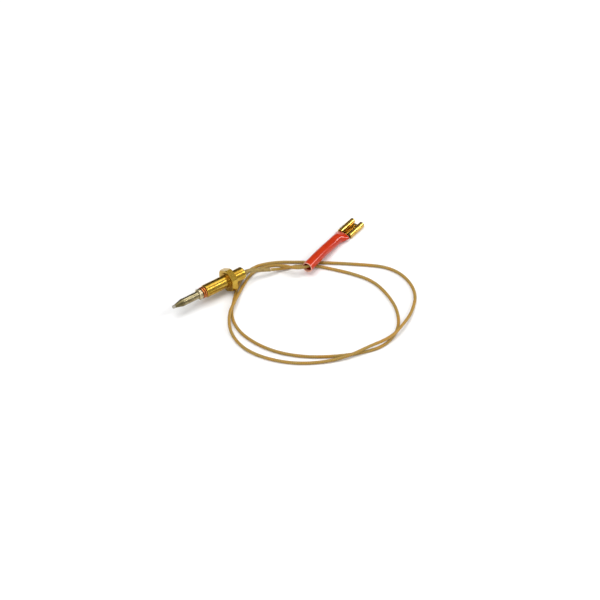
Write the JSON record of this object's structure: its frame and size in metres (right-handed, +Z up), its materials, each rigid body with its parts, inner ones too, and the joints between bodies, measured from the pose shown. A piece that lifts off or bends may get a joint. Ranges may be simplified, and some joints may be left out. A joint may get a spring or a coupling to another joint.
{
  "type": "thermocouple",
  "caption": "Flame-sensing thermocouple: slim metal probe, turned brass body with hexagon, long thin coiled lead and a sleeved push-on spade receptacle.",
  "frame": {"origin": "bottom centre of the metal head's box, on the surface that the hexagon's lower corner and the lead rest on", "axes": "+X along the head from the sensing tip towards the lead, +Z up; the receptacle lies towards +X"},
  "size_m": [0.1072, 0.0795, 0.0115],
  "materials": {
    "brass": "turned, satin",
    "nickel_alloy": "ground, slightly tarnished",
    "weld_bead": "fused, dull",
    "pale_plate": "bright",
    "copper_braze": "flowed copper alloy",
    "core_alloy": "drawn wire",
    "insulation": "packed powder",
    "conductor": "bare copper strands",
    "splice": "plated, crimped",
    "white_sleeve": "matte",
    "lead_cover": "varnished glass-fibre braid",
    "exit_cover": "shrunk, satin",
    "boot_red": "glossy, slightly translucent",
    "terminal_brass": "stamped, bright"
  },
  "bodies": {
    "root": {"probe_sheath": "nickel_alloy", "junction_bead": "weld_bead", "core_wire": "core_alloy", "core_insulation": "insulation", "sheath_collar": "pale_plate", "braze_ring": "copper_braze", "hex_body": "brass", "splice_crimp": "splice", "splice_cover": "white_sleeve", "lead_conductor_front": "conductor", "rear_bush": "insulation", "lead_cable": "lead_cover", "exit_sleeve": "exit_cover", "lead_conductor_end": "conductor", "terminal_boot": "boot_red", "spade_receptacle": "terminal_brass"}
  },
  "joints": []
}
